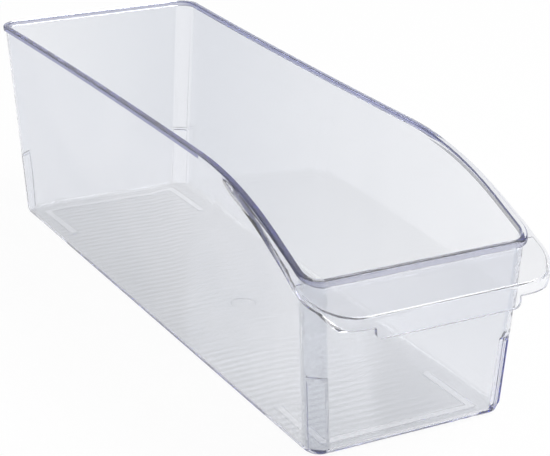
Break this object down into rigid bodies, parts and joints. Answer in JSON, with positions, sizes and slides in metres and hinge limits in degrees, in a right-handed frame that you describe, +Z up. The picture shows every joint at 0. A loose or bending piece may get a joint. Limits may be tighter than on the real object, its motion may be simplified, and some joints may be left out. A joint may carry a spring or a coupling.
{
  "type": "fridge storage bin",
  "caption": "Clear open-top fridge storage bin with a low sloping front, a rolled rim and a flared finger pull, moulded in one piece.",
  "frame": {"origin": "on the table, in the middle of the overall length with the pull, and in the middle of the width", "axes": "+Z up, +Y along the length towards the tall back, so the pull is at -Y, +X to the right seen from the pull"},
  "size_m": [0.106, 0.3166, 0.0955],
  "materials": {
    "clear_plastic": "clear, glossy"
  },
  "bodies": {
    "root": {"bin": "clear_plastic"}
  },
  "joints": []
}
